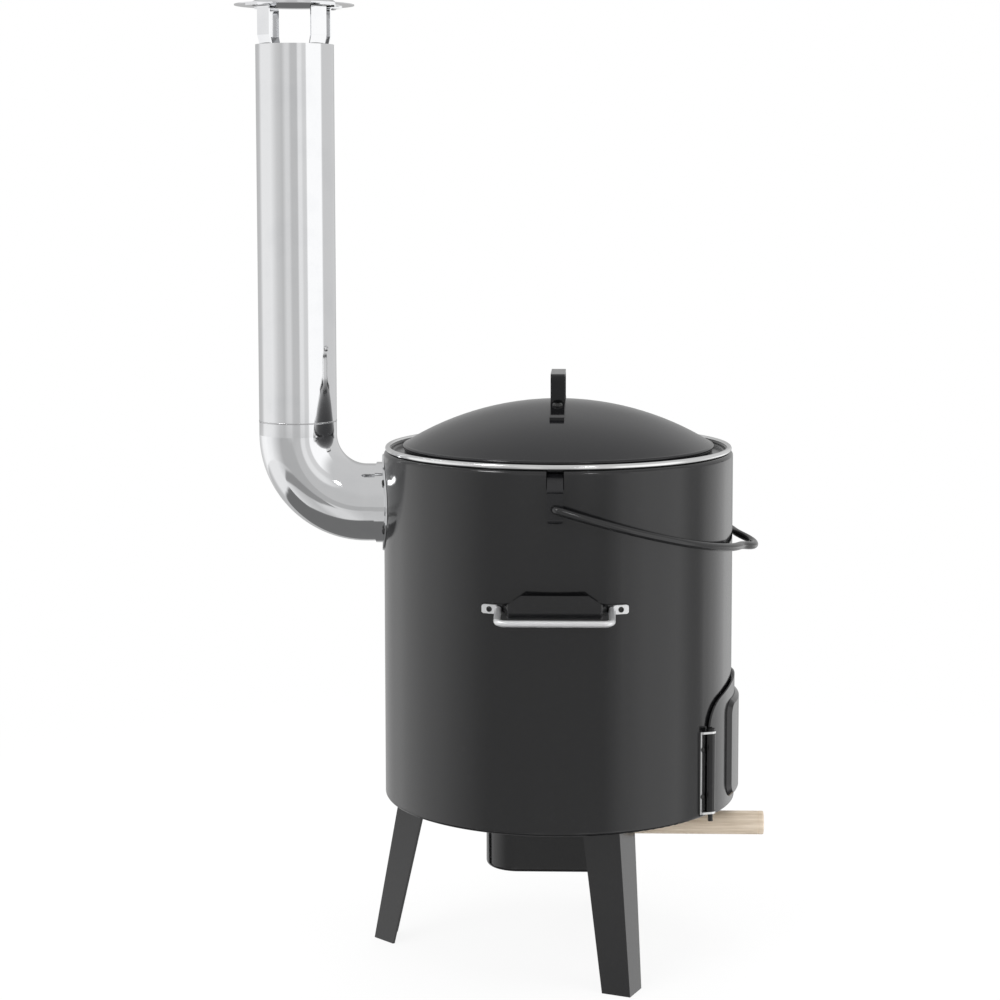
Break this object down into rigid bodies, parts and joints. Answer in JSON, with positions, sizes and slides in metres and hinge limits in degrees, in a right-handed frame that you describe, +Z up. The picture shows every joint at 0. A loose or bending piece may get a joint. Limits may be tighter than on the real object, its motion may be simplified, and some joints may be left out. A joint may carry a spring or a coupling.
{
  "type": "cauldron stove",
  "caption": "Free-standing outdoor stove: enamelled drum on splayed legs with a lidded cauldron, fire door, ash pan and flue pipe.",
  "frame": {"origin": "on the floor under the drum's axis", "axes": "+Z up, +X towards the fire door, the flue stands on -X, the near side handle faces -Y"},
  "size_m": [0.5455, 0.432, 0.9958],
  "materials": {
    "black_enamel": "gloss enamel",
    "grey_enamel": "satin dark grey enamel",
    "bright_steel": "bright, polished stainless steel and chrome",
    "zinc_steel": "zinc-plated steel",
    "cast_iron": "raw cast iron",
    "wood": "turned, unvarnished light wood"
  },
  "bodies": {
    "stove": {"shell_body": "black_enamel", "floor_plate": "black_enamel", "leg_flue_side": "black_enamel", "leg_near": "black_enamel", "leg_far": "black_enamel", "leg_bolts": "zinc_steel", "leg_nuts": "zinc_steel", "pan_rail_far": "black_enamel", "pan_rail_near": "black_enamel", "rail_rivets": "zinc_steel", "flue_elbow": "bright_steel", "flue_collar": "bright_steel", "collar_screws": "zinc_steel", "side_handle_near": "bright_steel", "side_handle_far": "bright_steel", "handle_shield_near": "black_enamel", "handle_shield_far": "black_enamel", "handle_screws": "zinc_steel", "handle_nuts": "zinc_steel", "hinge_bracket": "bright_steel", "hinge_rivets": "zinc_steel", "hinge_pin": "zinc_steel"},
    "grate": {"fire_grate": "cast_iron"},
    "door": {"fire_door": "black_enamel"},
    "latch": {"latch_lever": "zinc_steel", "latch_tongue": "zinc_steel", "latch_nut": "zinc_steel"},
    "pan": {"ash_pan": "black_enamel", "ash_pan_grip": "wood", "ash_pan_rod": "zinc_steel", "ash_pan_nuts": "zinc_steel"},
    "pot": {"cauldron": "grey_enamel", "cauldron_rim": "bright_steel", "bail_ear_near": "grey_enamel", "bail_ear_far": "grey_enamel"},
    "bail_handle": {"bail": "black_enamel"},
    "pot_lid": {"lid": "grey_enamel", "lid_handle": "grey_enamel", "lid_handle_screws": "zinc_steel", "lid_handle_nuts": "zinc_steel"},
    "chimney": {"flue_pipe": "bright_steel", "flue_pipe_rivet": "zinc_steel"},
    "rain_cap": {"chimney_cap": "bright_steel", "cap_strap_1": "bright_steel", "cap_strap_2": "bright_steel", "cap_strap_3": "bright_steel", "cap_strap_4": "bright_steel", "cap_rivets": "zinc_steel"}
  },
  "joints": [
    {"name": "pot_lift", "type": "slide", "parent": "stove", "child": "pot", "axis": [0, 0, 1], "range_m": [0, 0.26]},
    {"name": "bail_swing", "type": "hinge", "parent": "pot", "child": "bail_handle", "pos_m": [0, 0, 0.4836], "axis": [0, -1, 0], "range_deg": [0, 186]},
    {"name": "lid_lift", "type": "slide", "parent": "pot", "child": "pot_lid", "axis": [0, 0, 1], "range_m": [0, 0.07]},
    {"name": "door_swing", "type": "hinge", "parent": "stove", "child": "door", "pos_m": [0.15475, -0.1021, 0.2068], "axis": [0, 0, -1], "range_deg": [0, 110]},
    {"name": "latch_turn", "type": "hinge", "parent": "door", "child": "latch", "pos_m": [0.16857, 0.0725, 0.2072], "axis": [0.9186, 0.3951, 0], "range_deg": [0, 90]},
    {"name": "ash_pan_slide", "type": "slide", "parent": "stove", "child": "pan", "axis": [1, 0, 0], "range_m": [0, 0.13]},
    {"name": "chimney_lift", "type": "slide", "parent": "stove", "child": "chimney", "axis": [0, 0, 1], "range_m": [0, 0.06]},
    {"name": "cap_lift", "type": "slide", "parent": "chimney", "child": "rain_cap", "axis": [0, 0, 1], "range_m": [0, 0.05]},
    {"name": "grate_lift", "type": "slide", "parent": "stove", "child": "grate", "axis": [0, 0, 1], "range_m": [0, 0.08]}
  ]
}
